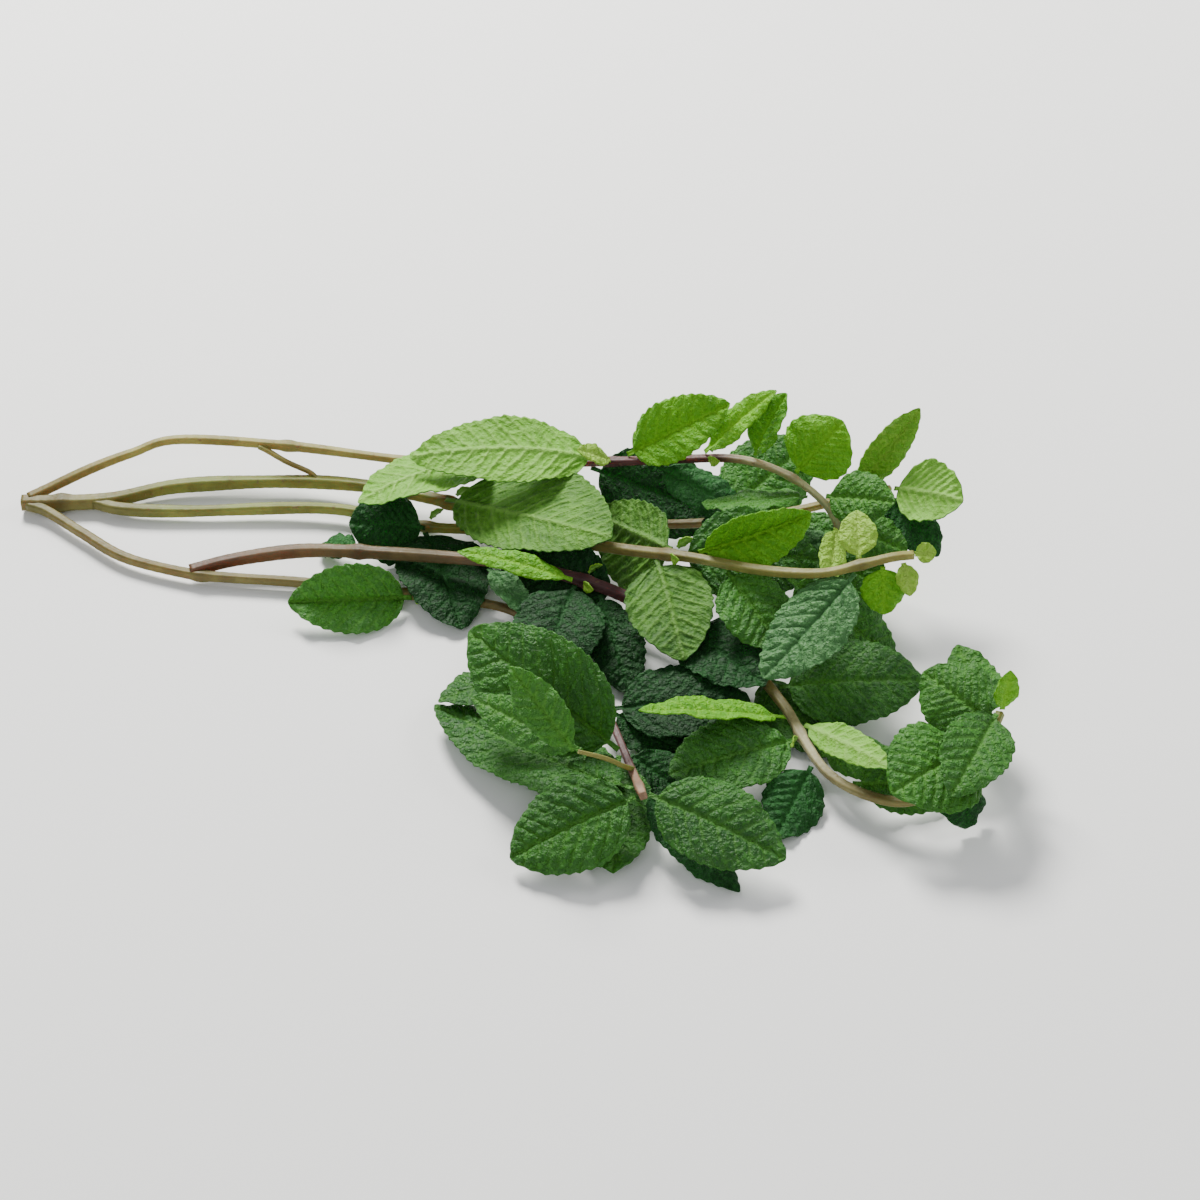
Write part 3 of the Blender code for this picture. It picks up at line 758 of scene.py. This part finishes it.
FRONT_LEAVES = [
    ("leaf_front_1", 36, (33, 148, 2), 10, (0, -0.3, 1), 12, 30, 0.05, 0.0, 0.0, "dark", 0.55, 1),
    ("leaf_front_2", 103, (75, 124, 20), 8, (0, -0.2, 0.9), 14, 30, 0.06, 0.0, 0.0, "bright", 0.55, 0.6),
    ("leaf_front_3", 104, (99, 83, 10), 26, (0, -0.3, 1), 12, 25, 0.06, 0.0, 0.0, "dark", 0.55, 0.1),
    ("leaf_front_4", 138, (161, 76, 13), 22, (0.1, -0.3, 1), 10, 12, 0.06, 0.0, 0.0, "dark", 0.55, 0.1),
    ("leaf_front_5", 173, (205, 78, 13), 27, (0, -0.4, 1), 8, 25, 0.08, 0.0, 0.0, "green", 0.5, 0.3),
    ("leaf_front_6", 185, (126, 53, 26), 12, (0, 0.2, 1), 20, 20, 0.02, 0.0, 0.0, "bright", 0.5, 0.7),
    ("leaf_front_7", 194, (134, 44, 11), 23, (-0.1, -0.3, 0.9), 12, 15, 0.04, 0.0, 0.0, "green", 0.8, 0.4),
    ("leaf_front_8", 204, (162, 29, 2), 17, (0.2, -0.3, 0.9), 6, 20, -0.04, 0.0, 0.0, "dark", 0.8, 0.5),
    ("leaf_front_9", 190, (193, 39, 18), 10, (0.1, 0.4, -0.9), 6, 10, -0.05, 0.0, 0.0, "under", 0.3, 1),
    ("leaf_front_10", 267, (203, 70, 24), 22, (-0.1, -0.5, 0.9), 10, 35, 0.08, 0.0, 0.0, "green", 0.7, 0.6),
    ("leaf_front_11", 257, (192, 31, 17), 29, (-0.3, -0.5, 0.8), 8, 25, 0.12, 0.0, 0.0, "green", 0.75, 0.7),
    ("leaf_front_12", 248, (213, 33, 1.5), 14, (0.4, -0.7, 0.5), 10, 40, 0.06, 0.0, 0.0, "dark", 0.6, 0.3),
    ("leaf_front_13", 290, (225, 62, 32), 7, (0.2, -0.8, 0.4), 20, 30, 0.05, 0.0, 0.0, "bright", 0.55, 1),
    ("leaf_front_14", 112, (124, 84, 2), 17, (0.1, -0.3, 1), 8, 20, 0.06, 0.0, 0.0, "dark", 0.55, 0),
    ("leaf_front_15", 152, (134, 64, 1.5), 17, (-0.1, -0.2, 1), 8, 20, 0.02, 0.0, 0.0, "dark", 0.55, 0),
    ("leaf_front_16", 78, (96, 108, 9), 9, (0.3, -0.5, 0.8), 25, 20, 0.05, 0.0, 0.0, "pale", 0.55, 0.4),
]
for name, *row, finish, quilt, tint_and_shade in FRONT_LEAVES:
    build_leaf(name, "stem_front", row, finish, quilt, tint_and_shade)

# ---------------------------------------------------------------------------
# Low branch. Its end drops to the table, where the oldest and largest leaves open
# flat around the last node, dark and puckered above.

LOW_LEAVES = [
    ("leaf_low_1", 121, (26, 118, 6), 22, (0, -0.7, 0.7), 35, 25, 0.06, 0.0, 0.0, "green", 0.6, 0.8),
    ("leaf_low_2", 205, (140, 60, 2), 15, (0, -0.2, 1), 8, 25, 0.04, 0.0, 0.0, "dark", 0.55, 0.1),
    ("leaf_low_3", 224, (140, 44, 2), 16, (0, -0.2, 1), 8, 25, 0.02, 0.0, 0.0, "dark", 0.55, 0.1),
    ("leaf_low_4", 246, (164, 16, 8), 24, (0, -0.4, 0.9), 12, 30, 0.08, 0.0, 0.0, "green", 0.45, 0.3),
    ("leaf_low_5", 241, (152, 11, 1), 13, (0, -0.2, 1), 8, 25, -0.04, 0.0, 0.0, "dark", 0.55, 0.4),
    ("leaf_low_6", 247, (92, 20, 4), 27, (-0.1, -0.4, 0.9), 14, 35, 0.08, 0.0, 0.0, "green", 1.0, 0.4),
    ("leaf_low_7", 243, (70, 76, 6), 27, (0, 0.1, 1), 2, 10, -0.04, 0.0, 0.0, "green", 0.8, 0.35),
    ("leaf_low_8", 224, (80, 81, 29), 30, (-0.2, -0.6, 0.8), 10, 12, 0.15, 0.0, 0.0, "green", 0.8, 0.5),
]
for name, *row, finish, quilt, tint_and_shade in LOW_LEAVES:
    build_leaf(name, "stem_low", row, finish, quilt, tint_and_shade)

# ---------------------------------------------------------------------------
# Side shoot. A young shoot grows out of the last node of the low branch and carries
# one pair of soft yellow-green leaves, folded along the midrib.

SHOOT_LEAVES = [
    ("leaf_shoot_1", 13, (81, 62, 22), 12, (-0.2, -0.6, 0.8), 15, 30, 0.04, 0.0, 0.0, "green", 0.55, 0.6),
    ("leaf_shoot_2", 15, (92, 55, 40), 12, (-0.2, -0.7, 0.8), 15, 30, 0.06, 0.0, 0.0, "green", 0.55, 0.8),
]
for name, *row, finish, quilt, tint_and_shade in SHOOT_LEAVES:
    build_leaf(name, "stem_shoot", row, finish, quilt, tint_and_shade)

# ---------------------------------------------------------------------------
# Inner leaves. Under the crown the older leaves are crowded between the stems, in the shade of the others,
# and grow from the same nodes. Most get dark finishes and low lightness: painted shade that fills the inside
# of the bunch.

INNER_LEAVES = [
    ("stem_middle", 93, (76, 111, 2.0), 27, (0.0, 0.2, 1), 12, 15, 0.1, 0.0, 0.0, "dark", 0.5, 0.1),
    ("stem_back", 169, (155, 155, 6.0), 27, (-0.4, -0.6, 1), 18, 35, -0.04, 0.0, 0.0, "dark", 0.5, 0.2),
    ("stem_middle", 181, (178, 171, 23.0), 26, (0.3, -0.4, 1), 12, 35, 0.04, 0.0, 0.0, "green", 0.5, 0.6),
    ("stem_low", 204, (157, 74, 9.0), 26, (0.4, -0.1, 1), 12, 15, 0.04, 0.0, 0.0, "dark", 0.5, 0),
    ("stem_main", 247, (199, 95, 4.0), 18, (-0.3, -0.7, 1), 12, 25, 0.1, 0.0, 0.0, "green", 0.5, 0.5),
    ("stem_front", 116, (86, 136, 9.0), 22, (-0.3, -0.6, 1), 12, 15, 0.06, 0.0, 0.0, "dark", 0.5, 0),
    ("stem_front", 269, (207, 28, 19.0), 19, (0.1, -0.4, 1), 12, 15, 0.1, 0.0, 0.0, "green", 0.5, 0.4),
    ("stem_low", 223, (119, 14, 5.0), 21, (-0.0, 0.2, 1), 12, 25, -0.04, 0.0, 0.0, "green", 0.5, 0.4),
    ("stem_low", 184, (71, 76, 7.0), 22, (0.0, 0.2, 1), 12, 25, 0.06, 0.0, 0.0, "green", 0.5, 0.3),
    ("stem_main", 211, (178, 121, 20.0), 28, (0.2, -0.8, 1), 8, 15, 0.09, 0.0, 0.0, "green", 0.5, 0.4),
    ("stem_front", 216, (214, 49, 2.0), 17, (-0.0, -0.9, 1), 18, 15, 0.1, 0.0, 0.0, "green", 0.5, 0.6),
    ("stem_front", 165, (181, 60, 2.0), 20, (-0.2, 0.3, 1), 12, 35, -0.04, 0.0, 0.0, "green", 0.5, 0.4),
    ("stem_middle", 197, (198, 115, 11.0), 21, (-0.1, -0.5, 1), 18, 25, 0.06, 0.0, 0.0, "green", 0.5, 0.7),
    ("stem_front", 269, (214, 85, 20.0), 15, (-0.1, -0.2, 1), 8, 15, -0.04, 0.0, 0.0, "green", 0.5, 0.7),
    ("stem_front", 201, (198, 56, 3.0), 13, (0.0, -0.5, 1), 8, 35, 0.1, 0.0, 0.0, "green", 0.5, 0.7),
    ("stem_back", 142, (45, 148, 18), 25, (0, -0.2, -1), 2, 6, -0.14, 0.0, 0.0, "under", 0.35, 1.0),
]
for number, (stem, *row, finish, quilt, tint_and_shade) in enumerate(INNER_LEAVES, 1):
    build_leaf(f"inner_leaf_{number}", stem, row, finish, quilt, tint_and_shade, cad=False)

# ---------------------------------------------------------------------------
# Bracts. Small scale leaves clasp the stem at its nodes, left from buds that
# have not opened. They are thin, yellow-green, and joined by a very short stalk.

BRACT_LENGTH = 7.5
BRACTS = [
    ("stem_main", 134, "b"), ("stem_main", 211, "ab"), ("stem_back", 206, "ab"),
    ("stem_middle", 93, "b"), ("stem_front", 106, "ab"), ("stem_front", 194, "a"),
    ("stem_low", 121, "ab"), ("stem_low", 205, "a"), ("stem_front", 262, "b"),
]
for number, (stem, at, sides) in enumerate(BRACTS, 1):
    route = routes[stem]
    for side in sides:
        turn = 1 if side == "a" else -1
        heading = route.heading(at)
        flank = heading.cross(Vector((0, 0, 1))).normalized() * turn
        lift = Vector((0, 0, 1)) * (0.5 if turn > 0 else 0.9)
        tip = route.at(at) + (flank + lift + heading * 0.9).normalized() * (BRACT_LENGTH - 0.12 * number)
        row = (at + 0.6, tip, 3.4, heading * -1 + flank * 0.4, 30, 40, 0.12, 0.0, 0.0)
        build_leaf(f"bract_{number}{side}", stem, row, "young", 0.3, 0.5, cad=False)
